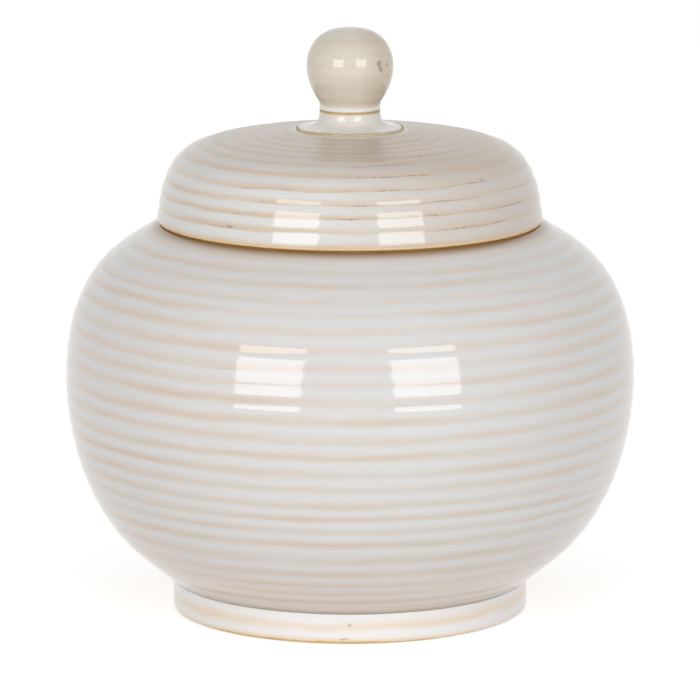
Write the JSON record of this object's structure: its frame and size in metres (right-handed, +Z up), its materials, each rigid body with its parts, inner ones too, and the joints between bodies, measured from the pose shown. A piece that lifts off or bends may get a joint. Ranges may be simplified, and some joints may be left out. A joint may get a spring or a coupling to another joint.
{
  "type": "lidded jar",
  "caption": "Globular glazed stoneware jar with a foot band, throwing rings, and a lift-off domed cap lid with a ball knob.",
  "frame": {"origin": "centre of the foot ring's standing face, at the bottom of the whole object", "axes": "+Z up along the wheel axis; X and Y lie in the standing face, and the picture looks along +Y"},
  "size_m": [0.2398, 0.2398, 0.2464],
  "materials": {
    "jar_glaze": "glossy off-white glaze, peach where it thins over the ring crests",
    "lid_glaze": "glossy off-white glaze, deeper peach on the ring crests, bare golden rim",
    "knob_glaze": "glossy grey-beige glaze with a brown line round the neck",
    "bare_clay": "matt bare golden stoneware"
  },
  "bodies": {
    "jar": {"foot_ring": "jar_glaze", "jar_wall": "jar_glaze", "neck_collar": "bare_clay"},
    "lid": {"lid_cap": "lid_glaze", "knob_foot": "knob_glaze", "knob_ball": "knob_glaze"}
  },
  "joints": [
    {"name": "lid_lift", "type": "slide", "parent": "jar", "child": "lid", "axis": [0, 0, 1], "range_m": [0, 0.12]}
  ]
}
